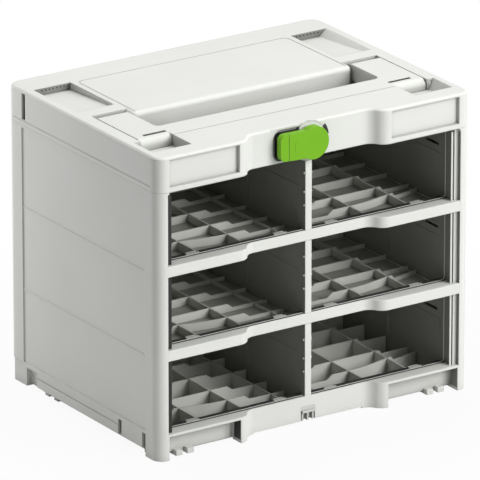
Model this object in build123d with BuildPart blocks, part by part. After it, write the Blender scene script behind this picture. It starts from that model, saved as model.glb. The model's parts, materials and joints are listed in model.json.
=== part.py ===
"""Stacking rack for small tool cases: two columns of three open bays in a carry case body.

Millimetres. X runs across the front, Y from front to back, Z up.
The origin is on the floor, under the middle of the case.
"""

from build123d import *
import os

os.makedirs("parts", exist_ok=True)

# Overall size of the case body
width = 396.0
depth = 296.0
height = 337.0
front = -depth / 2

# Rows of bays, from the top rail down to the base
tiers = ["lower", "middle", "upper"]
cover_height = 39.0
base_top = 29.2
bar_height = 12.0
rail_bottom = height - cover_height
bay_opening = (rail_bottom - base_top - (len(tiers) - 1) * bar_height) / len(tiers)
tier_pitch = bay_opening + bar_height

# Moulded walls and clearances
wall = 3.0
sheet = 2.4
liner = 2.0
gap = 0.3
seam = 0.8
front_corner = 12.0
rear_corner = 14.0
edge_round = 2.0

# Distances from the middle plane of the case
bay_outer = width / 2 - 20.0
divider_width = 7.8
divider_half = divider_width / 2
web_half = divider_half - liner
liner_back = bay_outer + liner
jamb_half = width / 2 - 13.0

# Distances behind the front plane
jamb_step = 4.6
bar_back = 15.4
liner_front = 19.7
grid_strip = 5.6
panel_relief = 1.2
back_inner = depth - wall - panel_relief

# Waist in the front of the rail, the shelf bars and the base
recess_depth = 14.0
recess_half = 69.5
recess_run = 24.5
recess_outer = recess_half + recess_run

# Turning latch in the middle of the front
latch_z = height - 20.5
latch_radius = 18.2
latch_reach = 42.5
latch_end_z = latch_z + 0.9
latch_end_half = 14.6
latch_neck = (latch_z - 15.9, latch_z + 14.9)
latch_corner = 6.5
latch_face = 3.0
latch_back = 10.0
latch_shell = 2.4
latch_margin = 2.2
latch_pocket = 4.0
latch_boss_wall = 2.0
hub_radius = 7.0
hub_fit = 0.08
plate_front = latch_back + gap
boss_back = recess_depth + latch_pocket + 4.0
boss_lip_back = liner_front - gap
lock_plate_half = 8.5
lock_plate_thickness = 1.6
lock_plate_gap = 0.2
hub_back = boss_back + lock_plate_gap
latch_screw_radius = 1.8
latch_screw_length = 10.0
latch_head_radius = 3.6
latch_head_height = 2.4
grip_line = 32.2
grip_line_width = 1.0
grip_line_depth = 0.8


def behind(distance):
    return front + distance


def bar_top(tier):
    return base_top + tier * tier_pitch


def tier_floor(tier):
    return base_floor if tier == 0 else bar_top(tier) - bar_height + sheet


def tier_ceiling(tier):
    return bar_top(tier) + bay_opening


def block(x, y, z, mode=Mode.ADD):
    # A box between two values on each axis, with Y counted from the front plane
    centre = (sum(x) / 2, behind(sum(y) / 2), sum(z) / 2)
    with Locations(centre):
        Box(x[1] - x[0], y[1] - y[0], z[1] - z[0], mode=mode)


def blocks_both_sides(x, y, z, mode=Mode.ADD):
    block(x, y, z, mode)
    block((-x[1], -x[0]), y, z, mode)


def patch(x, y, mode=Mode.ADD):
    # The same in a plan sketch
    with Locations((sum(x) / 2, behind(sum(y) / 2))):
        Rectangle(x[1] - x[0], y[1] - y[0], mode=mode)


def waist():
    # The recess in the middle of the front, with an S curve at each end
    clear = front - recess_depth
    start = (recess_outer, front)
    middle = (recess_half + recess_run / 2, front + recess_depth / 2)
    end = (recess_half, front + recess_depth)
    with BuildSketch(mode=Mode.PRIVATE) as shape:
        with BuildLine():
            first = TangentArc(start, middle, tangent=(-1, 0))
            TangentArc(middle, end, tangent=first % 1)
            Polyline(end, (0, front + recess_depth), (0, clear), (recess_outer, clear), start)
        make_face()
        mirror(about=Plane.YZ)
    return shape.sketch


def case_outline(inset=0.0):
    # Plan of the case: rounded corners and the waist at the front
    with BuildSketch(mode=Mode.PRIVATE) as shape:
        Rectangle(width, depth)
        fillet(vertices().group_by(Axis.Y)[0], radius=front_corner)
        fillet(vertices().group_by(Axis.Y)[-1], radius=rear_corner)
        add(waist(), mode=Mode.SUBTRACT)
        if inset:
            offset(amount=-inset, kind=Kind.INTERSECTION, mode=Mode.REPLACE)
    return shape.sketch


# Base tray: skirts, feet, lip and the floor under the lowest bays
base_lift = 1.8
base_floor = base_lift + sheet
lip = 2.8
corner_post = 14.0
post_half = width / 2 - corner_post
panel_wall = 2.4
skirt_bottom = 8.0
skirt_inset = 8.0
side_slot = 6.5
side_slots = [25.0, 71.5]
slot_top = base_top - 4.2
notch_y = (depth - 57.0, depth - 29.0)
notch_top = 24.0
neck_z = (0.0, 28.0)
neck_depth = 4.5
neck_run = 20.0
side_groove_z = 18.4
front_rise = 3.4
front_slot = (3.0, 5.0)
front_slot_depth = 1.2
foot_overlap = 1.0
lug_size = 8.0
lug_height = 6.0
lug_front = 7.0
lug_root = 14.0
front_lugs = [width / 2 - 49.0, width / 2 - 35.0]
side_lugs = [24.0, depth - 88.0, depth - 70.0]
column_hole = (liner_back + wall, width / 2 - wall)
tongue_height = 4.0
tongue_y = (42.0, depth - 70.0)

# Coupling catch in the middle of the base
catch_half = 9.0
catch_height = 16.0
catch_depth = 4.4
catch_wall = 1.2
catch_bars = 3
catch_bar = 2.0
catch_bar_pitch = 6.6
catch_head = 3.2
catch_side_wall = 2.0
catch_boss_top = catch_height + 5.0

with BuildPart() as base_tray:
    with BuildSketch(Plane.XY.offset(base_lift)):
        add(case_outline())
    extrude(amount=base_top - base_lift)
    # room for the grids and liners
    block((-liner_back, liner_back), (recess_depth + panel_wall, depth - wall),
          (base_floor, base_top), Mode.SUBTRACT)
    block((-bay_outer, bay_outer), (bar_back, depth - wall), (base_top - lip, base_top), Mode.SUBTRACT)
    # side pockets that take the tongues of the side walls
    blocks_both_sides(column_hole, (tongue_y[0] - 2, tongue_y[1] + 2),
                      (skirt_bottom + wall, base_top), Mode.SUBTRACT)
    # front panels under the lip
    blocks_both_sides((recess_outer, post_half), (0, recess_depth), (0, base_top - lip), Mode.SUBTRACT)
    blocks_both_sides((recess_outer, post_half), (0, recess_depth + panel_wall), (0, front_rise),
                      Mode.SUBTRACT)
    blocks_both_sides((recess_outer + front_slot[0], recess_outer + front_slot[1]),
                      (0, recess_depth + front_slot_depth), (0, base_top - lip), Mode.SUBTRACT)
    # feet under the corners and under the ends of the waist
    with BuildSketch():
        with BuildSketch(mode=Mode.PRIVATE) as feet:
            for side in (-1, 1):
                inner, outer = sorted((side * post_half, side * width / 2))
                patch((inner, outer), (0, side_slots[0]))
                patch((inner, outer), (notch_y[1], depth))
                near, far = sorted((side * recess_half, side * recess_outer))
                patch((near, far), (0, recess_depth + panel_wall))
                patch((near, far), (depth - recess_depth, depth))
        add(case_outline())
        add(feet.sketch, mode=Mode.INTERSECT)
    extrude(amount=base_lift + foot_overlap)
    # raised side skirts, the slot behind each front foot and the notch before each rear foot
    side_edge = width / 2 - skirt_inset
    skirt_front = side_slots[0] + side_slot
    blocks_both_sides((side_edge, width / 2), (skirt_front, notch_y[0]), (0, skirt_bottom), Mode.SUBTRACT)
    for y in side_slots:
        blocks_both_sides((side_edge, width / 2), (y, y + side_slot), (0, slot_top), Mode.SUBTRACT)
    blocks_both_sides((side_edge - 2, width / 2), notch_y, (0, notch_top), Mode.SUBTRACT)
    blocks_both_sides((width / 2 - 1.0, width / 2), (side_slots[-1] + side_slot, notch_y[0]),
                      (side_groove_z - 0.6, side_groove_z + 0.6), Mode.SUBTRACT)
    # the rear feet stand back from the sides and the rear
    blocks_both_sides((width / 2 - neck_depth, width / 2), (notch_y[1], depth), neck_z, Mode.SUBTRACT)
    blocks_both_sides((width / 2 - neck_run, width / 2), (depth - neck_depth, depth), neck_z, Mode.SUBTRACT)
    # locating lugs
    for x in front_lugs:
        blocks_both_sides((x, x + lug_size), (lug_front, recess_depth + panel_wall + 3), (0, lug_height))
        blocks_both_sides((x, x + lug_size), (depth - recess_depth - 3, depth - lug_front), (0, base_floor))
    for y in side_lugs:
        blocks_both_sides((side_edge - lug_root, side_edge + 1), (y, y + lug_size), (0, base_floor))
    # boss and pocket of the coupling catch
    catch_boss_half = catch_half + catch_side_wall
    block((-catch_boss_half, catch_boss_half), (recess_depth, recess_depth + catch_depth + catch_wall),
          (base_lift, catch_boss_top))
    block((-catch_half, catch_half), (0, recess_depth + catch_depth),
          (0, base_lift + catch_height), Mode.SUBTRACT)
base_tray.part.label = "base_tray"

# Coupling catch: a comb that the latch of the case below hooks behind
with BuildPart() as coupling_catch:
    catch_y = (recess_depth + gap, recess_depth + catch_depth)
    bar_length = catch_height - catch_head
    block((-catch_half, catch_half), catch_y, (base_lift + bar_length, base_lift + catch_height))
    with Locations((0, behind(sum(catch_y) / 2), base_lift + bar_length / 2)):
        with GridLocations(catch_bar_pitch, 1, catch_bars, 1):
            Box(catch_bar, catch_y[1] - catch_y[0], bar_length)
    head = coupling_catch.edges().filter_by(Axis.Y).group_by(Axis.Z)[-1]
    fillet(head, radius=catch_head - 1)
coupling_catch.part.label = "coupling_catch"


# Side walls: hollow, with a jamb column in front, a column behind and ribs between
side_recess_y = (25.0, depth - 30.2)
side_recess_top = rail_bottom - 2.5
side_ribs_z = [base_top + tier_pitch * n - bar_height + 1 for n in (1, 2)]
side_rib = 1.6
side_rib_proud = 0.7
column_front = 25.0
column_rear = depth - 26.0
opening_corner = 3.5
rear_recess_margin = 12.0
cell_ribs = 3
cell_rib = 2.0
skin_inner = width / 2 - wall - panel_relief

with BuildPart() as right_side_wall:
    with BuildSketch(Plane.XY.offset(base_top)):
        with BuildSketch(mode=Mode.PRIVATE) as keep:
            patch((liner_back, width / 2), (jamb_step, depth))
            patch((jamb_half, width / 2), (0, jamb_step))
        add(case_outline())
        add(keep.sketch, mode=Mode.INTERSECT)
        # the two columns are tubes
        patch(column_hole, (jamb_step + wall, column_front - wall), Mode.SUBTRACT)
        patch((column_hole[0], column_hole[1] - 1), (column_rear + wall, depth - wall - 2), Mode.SUBTRACT)
        # open cells between the ribs, closed by the liners
        cell_pitch = (column_rear - column_front + cell_rib) / (cell_ribs + 1)
        for n in range(cell_ribs + 1):
            start = column_front + n * cell_pitch
            patch((liner_back, skin_inner), (start, start + cell_pitch - cell_rib), Mode.SUBTRACT)
    extrude(amount=rail_bottom - base_top)
    outer = (width / 2 - panel_relief, width / 2)
    block(outer, side_recess_y, (base_top, side_recess_top), Mode.SUBTRACT)
    for z in side_ribs_z:
        block((outer[0], outer[0] + side_rib_proud), side_recess_y, (z, z + side_rib))
    # rounded corner of the opening, under the rail
    with BuildSketch(Plane.XZ.offset(-front)):
        with Locations((jamb_half - opening_corner / 2, rail_bottom - opening_corner / 2)):
            Rectangle(opening_corner, opening_corner)
        with Locations((jamb_half - opening_corner, rail_bottom - opening_corner)):
            Circle(opening_corner, mode=Mode.SUBTRACT)
    extrude(amount=-jamb_step)
    # tongues that enter the base and the top cover
    tongue = (skin_inner - 0.6, width / 2 - wall - gap)
    block(tongue, tongue_y, (base_top - tongue_height, base_top + 3))
    block(tongue, tongue_y, (rail_bottom - 3, rail_bottom + tongue_height))
right_side_wall.part.label = "right_side_wall"

with BuildPart() as left_side_wall:
    mirror(right_side_wall.part, about=Plane.YZ)
left_side_wall.part.label = "left_side_wall"


# Rear wall between the side columns
with BuildPart() as rear_wall:
    block((-liner_back, liner_back), (back_inner, depth), (base_top, rail_bottom))
    recess_x = (rear_recess_margin - liner_back, liner_back - rear_recess_margin)
    block(recess_x, (depth - panel_relief, depth), (base_top, side_recess_top), Mode.SUBTRACT)
    for z in side_ribs_z:
        block(recess_x, (depth - panel_relief, depth - panel_relief + side_rib_proud), (z, z + side_rib))
rear_wall.part.label = "rear_wall"


# Shelves: a thin plate with a deep bar across the front
bar_wall = 2.6
bar_cells = 2
edge_break = 0.6
shelf_parts = []
for tier in (1, 2):
    top = bar_top(tier)
    with BuildPart() as shelf:
        with BuildSketch(Plane.XY.offset(top - bar_height)) as plate:
            patch((-liner_back, liner_back), (0, back_inner))
            patch((-jamb_half, jamb_half), (0, jamb_step))
            add(waist(), mode=Mode.SUBTRACT)
        extrude(amount=sheet)
        with BuildSketch(Plane.XY.offset(top - bar_height)):
            add(plate.sketch.moved(Location((0, 0, bar_height - top))))
            patch((-width / 2, width / 2), (bar_back, depth), Mode.SUBTRACT)
        extrude(amount=bar_height)
        # the ends of the bar are hollow from below
        cell = (bay_outer - recess_outer - bar_wall) / bar_cells
        for n in range(bar_cells):
            x = recess_outer + n * cell
            blocks_both_sides((x, x + cell - bar_wall), (bar_wall, bar_back - bar_wall),
                              (top - bar_height, top - bar_wall), Mode.SUBTRACT)
        chamfer(shelf.edges().filter_by(Axis.X).group_by(Axis.Y)[0], length=edge_break)
    shelf.part.label = tiers[tier] + "_shelf"
    shelf_parts.append(shelf)


# Dividers: a front post with a thin web behind it
post_back = liner_front
nub_heights = [28.0, 43.0, 64.0]
nub = (1.4, 3.0)
divider_parts = []
for tier in range(len(tiers)):
    low, high, top = tier_floor(tier), tier_ceiling(tier), bar_top(tier)
    with BuildPart() as divider:
        block((-divider_half, divider_half), (recess_depth, post_back), (low, high))
        block((-web_half, web_half), (post_back, back_inner), (low, high))
        # the foot of the post stands behind the bar or the base
        foot = recess_depth + panel_wall if tier == 0 else bar_back
        block((-divider_half, divider_half), (recess_depth, foot), (low, top), Mode.SUBTRACT)
        if tier == 0:
            catch_back = recess_depth + catch_depth + catch_wall
            block((-divider_half, divider_half), (recess_depth, catch_back),
                  (low, catch_boss_top), Mode.SUBTRACT)
        for z in nub_heights:
            blocks_both_sides((divider_half - 0.2, divider_half + nub[0]),
                              (recess_depth + 1, recess_depth + 1 + nub[1]), (top + z - 1.5, top + z + 1.5))
        if tier == len(tiers) - 1:
            # the lip of the latch boss hangs in front of the top of the post
            block((-divider_half, divider_half), (recess_depth, post_back),
                  (latch_z - latch_radius - latch_margin - latch_boss_wall - gap, high), Mode.SUBTRACT)
    divider.part.label = tiers[tier] + "_divider"
    divider_parts.append(divider)


# Liners: the side panels of each bay, with guide steps for the cases
step_back = 122.5
step_proud = 0.8
guide_z = (30.0, 46.8)
guide_proud = 0.5
slot_y = (31.0, 55.0)
slot_z = (54.5, 57.5)
liner_parts = []
for tier in range(len(tiers)):
    low, high, top = tier_floor(tier), tier_ceiling(tier), bar_top(tier)
    for place in ("outer", "inner"):
        with BuildPart() as panel:
            if place == "outer":
                back, face = liner_back, bay_outer
            else:
                back, face = web_half, divider_half
            inward = 1 if face > back else -1
            block(sorted((back, face)), (liner_front, back_inner), (low, high))
            raised = sorted((face, face + inward * step_proud))
            block(raised, (step_back, back_inner), (top, high))
            raised = sorted((face, face + inward * guide_proud))
            block(raised, (liner_front + 6, step_back), (top + guide_z[0], top + guide_z[1]))
            across = sorted((back, face + inward * guide_proud))
            block(across, slot_y, (top + slot_z[0], top + slot_z[1]), Mode.SUBTRACT)
        for side, sign in (("right", 1), ("left", -1)):
            with BuildPart() as copy:
                if sign == 1:
                    add(panel.part)
                else:
                    mirror(panel.part, about=Plane.YZ)
            copy.part.label = tiers[tier] + "_" + side + "_" + place + "_liner"
            liner_parts.append(copy)


# Floor grids: ribs that carry the cases, with a flat strip along the front
grid_drop = 0.4
grid_rib = 1.6
grid_inner = divider_half + step_proud + gap
grid_outer = bay_outer - step_proud - gap
grid_front = bar_back + 0.4
grid_first = 22.2
grid_columns = 3
grid_last_cell = 44.6
grid_pitch_x = (bay_outer - grid_last_cell - grid_first) / (grid_columns - 1)
grid_row_first = 85.0
grid_rows = 5
grid_pitch_y = (back_inner - gap - grid_row_first) / grid_rows
curved_row = [(0.0, 52.0), (1.0, 52.0), (2.0, 60.5), (2.8, 70.0)]
low_rib = 5.0
low_rib_outer = 4.4
low_slope = (49.0, 56.0)
rib_tip = (5.0, 9.0)
strip_height = 2.2
tab_length = 16.0
tab_depth = 3.0


def grid_x(column):
    return grid_first + column * grid_pitch_x


def build_grid(tier):
    floor, top = tier_floor(tier), bar_top(tier) - grid_drop
    with BuildPart() as grid:
        back = back_inner - gap
        with BuildSketch(Plane.XY.offset(floor)):
            rib_back = grid_front + grid_strip
            for column in range(grid_columns):
                x = grid_x(column)
                patch((x - grid_rib / 2, x + grid_rib / 2), (rib_back - grid_rib, back))
            for row in range(grid_rows):
                y = grid_row_first + row * grid_pitch_y
                patch((grid_inner, grid_outer), (y - grid_rib / 2, y + grid_rib / 2))
            patch((grid_inner, grid_outer), (rib_back - grid_rib, rib_back))
            patch((grid_inner, grid_outer), (back - grid_rib, back))
            # the row nearest the front bows back towards the outer wall
            with BuildLine():
                points = [(grid_x(c), behind(y)) for c, y in curved_row]
                Line((grid_inner, points[0][1]), points[1])
                Spline(points[1:], tangents=[(1, 0), (1, 0.25)])
            trace(line_width=grid_rib)
            patch((grid_inner, grid_outer), (0, depth), Mode.INTERSECT)
        extrude(amount=top - floor)
        # the strip along the front
        block((grid_inner, grid_outer), (grid_front, rib_back), (top - strip_height, top))
        # cross ribs are lower beside the divider and beside the outer wall
        with BuildSketch(Plane.XZ.offset(-behind(rib_back))):
            with BuildLine():
                Polyline((0, top - low_rib), (low_slope[0], top - low_rib), (low_slope[1], top),
                         (low_slope[1], top + 1), (0, top + 1), close=True)
            make_face()
            edge = grid_x(grid_columns - 1) + grid_rib / 2
            with BuildLine():
                Polyline((edge + rib_tip[0], top), (edge + rib_tip[1], top - low_rib_outer),
                         (liner_back, top - low_rib_outer), (liner_back, top + 1),
                         (edge + rib_tip[0], top + 1), close=True)
            make_face()
        extrude(amount=-depth, mode=Mode.SUBTRACT)
        # small clips beside the first and last lengthwise rib
        for column in (0, grid_columns - 1):
            x = grid_x(column) + 3
            block((x, x + tab_length), (rib_back, rib_back + tab_depth), (top - strip_height, top))
    return grid


grid_parts = []
for tier in range(len(tiers)):
    grid = build_grid(tier)
    for side, sign in (("right", 1), ("left", -1)):
        with BuildPart() as copy:
            if sign == 1:
                add(grid.part)
            else:
                mirror(grid.part, about=Plane.YZ)
        copy.part.label = tiers[tier] + "_" + side + "_grid"
        grid_parts.append(copy)


# Carry handle, folded flat into the top
handle_half = width / 2 - 18.0
arm_width = 38.5
arm_inner = handle_half - arm_width
grip_front = 59.0
grip_depth = 30.5
grip_back = grip_front + grip_depth
arm_rear = 150.5
handle_thickness = 18.0
handle_wall = 3.0
grip_skin = 6.0
handle_underside = height - handle_thickness
pivot_y = 143.0
pivot_z = height - 8.5
pivot_solid = 9.0
pin_radius = 3.0
pin_fit = 0.08
pin_reach = 20.0
pin_boss = 8.0
grip_nose = 8.0
handle_round = 6.0
grip_cells = 9
slot_length = 28.0
slot_width = 4.6
slot_from_front = 11.2
slot_from_end = 11.0
slot_depth = 2.0
insert_drop = 0.5

# Wells and pockets of the top cover
cover_skin = 3.0
well_wall = 2.5
well_floor = height - 31.0
side_gap = 1.0
swing_gap = 3.4
well_half = handle_half + side_gap
plateau_half = arm_inner - 2.0
plateau_front = 137.5
plateau_corner = 6.0
plateau_round = 5.0
crease_inset = 5.4
crease_back = depth - 38.5
crease_width = 0.8
crease_depth = 0.5
crease_corner = 7.0
stop_size = 12.0
stop_y = 74.0
front_pocket_y = (23.0, grip_front - seam)
front_pocket_x = (arm_inner - 0.5, width / 2 - 9.0)
front_pocket_floor = height - 12.0
front_pocket_slope = 6.0
rear_pocket_y = (arm_rear + 22.5, depth - 37.0)
rear_pocket_x = (arm_inner - 0.5, width / 2 - 11.0)
rear_pocket_depth = 8.2
rear_pocket_slope = 9.0
rear_pocket_ramp = (3.0, 3.6)
window_margin = 1.6
window_ribs = 5
window_rib = 1.6
label_x = (recess_outer + 2.0, width / 2 - 15.5)
label_z = (rail_bottom + 5.6, height - 3.5)
label_depth = 4.0
rear_slot_y = (depth - 38.0, depth - 31.7)
rear_slot_z = (rail_bottom + 7.0, height - 3.0)
cover_groove_z = rail_bottom + 5.5
groove_half = 0.5
groove_depth = 0.6

# Ceiling of the upper bays, held between the walls below and blocks in the corners of the cover
ceiling_thickness = 2.4
ceiling_half = width / 2 - 5.8
ceiling_corner = 6.0
ceiling_step = (recess_half + 4.5, recess_outer + 6.0)
hold_block = 8.0
hold_x = width / 2 - 14.0
hold_y = (12.0, depth - 28.0)


def facing_front(distance):
    # A plane across the case at a distance behind the front; sketches on it use X and Z
    return Plane.XZ.offset(-behind(distance))


def latch_outline(margin=0.0, plain=False):
    # Round head on the pivot and a lever that widens towards its end; hidden ones have plain corners
    with BuildSketch(mode=Mode.PRIVATE) as shape:
        with Locations((0, latch_z)):
            Circle(latch_radius)
        with BuildLine():
            Polyline((0, latch_neck[0]), (-latch_reach, latch_end_z - latch_end_half),
                     (-latch_reach, latch_end_z + latch_end_half), (0, latch_neck[1]), close=True)
        make_face()
        ends = shape.vertices().group_by(Axis.X)[0]
        if plain:
            chamfer(ends, length=0.8 * latch_corner)
        else:
            fillet(ends, radius=latch_corner)
            fillet(shape.vertices().filter_by(lambda v: -latch_radius < v.X < -2), radius=latch_corner)
        if margin:
            offset(amount=margin, kind=Kind.INTERSECTION if plain else Kind.ARC, mode=Mode.REPLACE)
    return shape.sketch


def pin_circle(radius, mode=Mode.ADD):
    # A circle round the handle's pivot, on a plane across the case
    with Locations((behind(pivot_y), pivot_z)):
        Circle(radius, mode=mode)


# The raised middle of the top, between the arms of the handle
with BuildPart() as plateau:
    block((-plateau_half, plateau_half), (plateau_front, depth), (well_floor - 1, height))
    fillet(plateau.edges().filter_by(Axis.Z).group_by(Axis.Y)[0], radius=plateau_corner)
    fillet(plateau.faces().sort_by(Axis.Z)[-1].edges().group_by(Axis.Y)[0], radius=plateau_round)

# The space that the folded handle lies in
with BuildPart() as handle_well:
    block((-well_half, well_half), (grip_front - seam, arm_rear + swing_gap), (well_floor, height))
    add(plateau.part, mode=Mode.SUBTRACT)

# A pocket for a rear foot of the case above, with a ramp at its front
with BuildPart() as rear_pocket:
    ramp_run, ramp_drop = rear_pocket_ramp
    with BuildSketch(Plane.YZ.offset(rear_pocket_x[0])):
        with BuildLine():
            start, end = behind(rear_pocket_y[0]), behind(rear_pocket_y[1])
            Polyline((start, height), (start + ramp_run, height - ramp_drop),
                     (end, height - rear_pocket_depth), (end, height), close=True)
        make_face()
    extrude(amount=rear_pocket_x[1] - rear_pocket_x[0])
    with BuildSketch(Plane.XZ.offset(depth)):
        with BuildLine():
            near, far = rear_pocket_x
            low = height - rear_pocket_depth
            Polyline((near, low), (far - rear_pocket_slope, low), (far, height), (near, height), close=True)
        make_face()
    extrude(amount=-2 * depth, mode=Mode.INTERSECT)

# A pocket for a front foot, open to the handle well
with BuildPart() as front_pocket:
    with BuildSketch(facing_front(front_pocket_y[0])):
        with BuildLine():
            near, far = front_pocket_x
            Polyline((near, front_pocket_floor), (far - front_pocket_slope, front_pocket_floor),
                     (far, height), (near, height), close=True)
        make_face()
    extrude(amount=front_pocket_y[0] - front_pocket_y[1])

with BuildPart() as top_cover:
    with BuildSketch(Plane.XY.offset(rail_bottom)):
        add(case_outline())
    extrude(amount=height - rail_bottom)
    chamfer(top_cover.edges().group_by(Axis.Z)[-1], length=edge_round)
    with BuildSketch(Plane.XY.offset(rail_bottom)):
        add(case_outline(wall))
    inside = height - cover_skin
    extrude(amount=inside - rail_bottom, mode=Mode.SUBTRACT)
    # walls round the well, the pockets and the labels
    block((-well_half - well_wall, well_half + well_wall),
          (front_pocket_y[1] - well_wall, arm_rear + swing_gap + well_wall), (well_floor - well_wall, inside))
    hollow = plateau_half - well_wall
    block((-hollow, hollow), (plateau_front + well_wall, arm_rear + swing_gap + well_wall),
          (well_floor - well_wall, inside), Mode.SUBTRACT)
    blocks_both_sides((front_pocket_x[0] - well_wall, front_pocket_x[1] + well_wall),
                      (front_pocket_y[0] - well_wall, front_pocket_y[1]),
                      (front_pocket_floor - well_wall, inside))
    blocks_both_sides((rear_pocket_x[0] - well_wall, rear_pocket_x[1] + well_wall),
                      (arm_rear + swing_gap, rear_pocket_y[1] + well_wall),
                      (height - rear_pocket_depth - well_wall, inside))
    blocks_both_sides((label_x[0] - label_depth / 2, label_x[1] + label_depth / 2),
                      (wall, label_depth + well_wall), (label_z[0] - label_depth / 2, inside))
    # boss of the latch, with a lip that hangs below the rail
    boss_margin = latch_margin + latch_boss_wall
    with BuildSketch(facing_front(recess_depth)):
        with Locations((0, latch_z)):
            Circle(latch_radius + boss_margin)
        with Locations((-(latch_reach + boss_margin) / 2, latch_end_z)):
            Rectangle(latch_reach + boss_margin, 2 * (latch_end_half + boss_margin))
    extrude(amount=recess_depth - boss_back)
    block((-width, width), (boss_lip_back, depth), (0, rail_bottom), Mode.SUBTRACT)
    block((-width, width), (0, depth), (height, height + latch_radius), Mode.SUBTRACT)
    # bosses of the handle pins, and blocks that hold the ceiling down
    blocks_both_sides((well_half, well_half + pin_boss), (pivot_y - pin_boss, pivot_y + pin_boss),
                      (pivot_z - pin_boss, inside))
    for y in hold_y:
        blocks_both_sides((hold_x, hold_x + hold_block), (y, y + hold_block),
                          (rail_bottom + ceiling_thickness, inside))
    # the well, with two stops that the handle rests on, and the pockets
    add(handle_well.part, mode=Mode.SUBTRACT)
    stop_x = (handle_half - arm_width / 2 - stop_size / 2, handle_half - arm_width / 2 + stop_size / 2)
    blocks_both_sides(stop_x, (stop_y - stop_size / 2, stop_y + stop_size / 2),
                      (well_floor, handle_underside - gap))
    add(front_pocket.part, mode=Mode.SUBTRACT)
    mirror(front_pocket.part, about=Plane.YZ, mode=Mode.SUBTRACT)
    add(rear_pocket.part, mode=Mode.SUBTRACT)
    mirror(rear_pocket.part, about=Plane.YZ, mode=Mode.SUBTRACT)
    # the rear wall of each rear pocket is open between ribs
    window_x = (rear_pocket_x[0] + window_margin, rear_pocket_x[1] - rear_pocket_slope)
    window_pitch = (window_x[1] - window_x[0] + window_rib) / (window_ribs + 1)
    for n in range(window_ribs + 1):
        x = window_x[0] + n * window_pitch
        blocks_both_sides((x, x + window_pitch - window_rib),
                          (rear_pocket_y[1] - gap, rear_pocket_y[1] + well_wall + gap),
                          (height - rear_pocket_depth, inside), Mode.SUBTRACT)
    # fine crease round the plateau
    with BuildSketch(Plane.XY.offset(height - crease_depth)):
        crease_half = plateau_half - crease_inset
        for edge, mode in ((crease_half, Mode.ADD), (crease_half - crease_width, Mode.SUBTRACT)):
            with Locations((0, behind(crease_back - crease_half + edge - depth / 2))):
                RectangleRounded(2 * edge, depth, crease_corner, mode=mode)
        patch((-width, width), (-depth, plateau_front + plateau_round), Mode.SUBTRACT)
    extrude(amount=crease_depth, mode=Mode.SUBTRACT)
    # label recesses, side grooves and slots
    blocks_both_sides(label_x, (0, label_depth), label_z, Mode.SUBTRACT)
    blocks_both_sides((width / 2 - groove_depth, width / 2), (rear_corner, depth - rear_corner),
                      (cover_groove_z - groove_half, cover_groove_z + groove_half), Mode.SUBTRACT)
    blocks_both_sides((width / 2 - wall, width / 2), rear_slot_y, rear_slot_z, Mode.SUBTRACT)
    # latch pocket and the bore for the hub
    with BuildSketch(facing_front(recess_depth)):
        add(latch_outline(latch_margin))
    extrude(amount=-latch_pocket, mode=Mode.SUBTRACT)
    with BuildSketch(facing_front(recess_depth)):
        with Locations((0, latch_z)):
            Circle(hub_radius + hub_fit)
    extrude(amount=recess_depth - boss_back, mode=Mode.SUBTRACT)
    # holes for the handle pins
    with BuildSketch(Plane.YZ.offset(-well_half - pin_boss)):
        pin_circle(pin_radius)
    extrude(amount=pin_boss, mode=Mode.SUBTRACT)
    with BuildSketch(Plane.YZ.offset(well_half)):
        pin_circle(pin_radius)
    extrude(amount=pin_boss, mode=Mode.SUBTRACT)
top_cover.part.label = "top_cover"


# Ceiling panel, cut back round the waist and the boss of the latch
with BuildPart() as ceiling_panel:
    with BuildSketch(Plane.XY.offset(rail_bottom)):
        patch((-ceiling_half, ceiling_half), (wall + gap, depth - wall - gap))
        chamfer(vertices(), length=ceiling_corner)
        near, far = ceiling_step
        clear = recess_depth + wall + gap
        with BuildLine():
            Polyline((-far, front), (-far, behind(wall + gap)), (-near, behind(clear)), (near, behind(clear)),
                     (far, behind(wall + gap)), (far, front), close=True)
        make_face(mode=Mode.SUBTRACT)
        boss_half = latch_reach + latch_margin + latch_boss_wall + gap
        patch((-boss_half, boss_half), (0, boss_back + gap), Mode.SUBTRACT)
    extrude(amount=ceiling_thickness)
ceiling_panel.part.label = "ceiling_panel"


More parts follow.
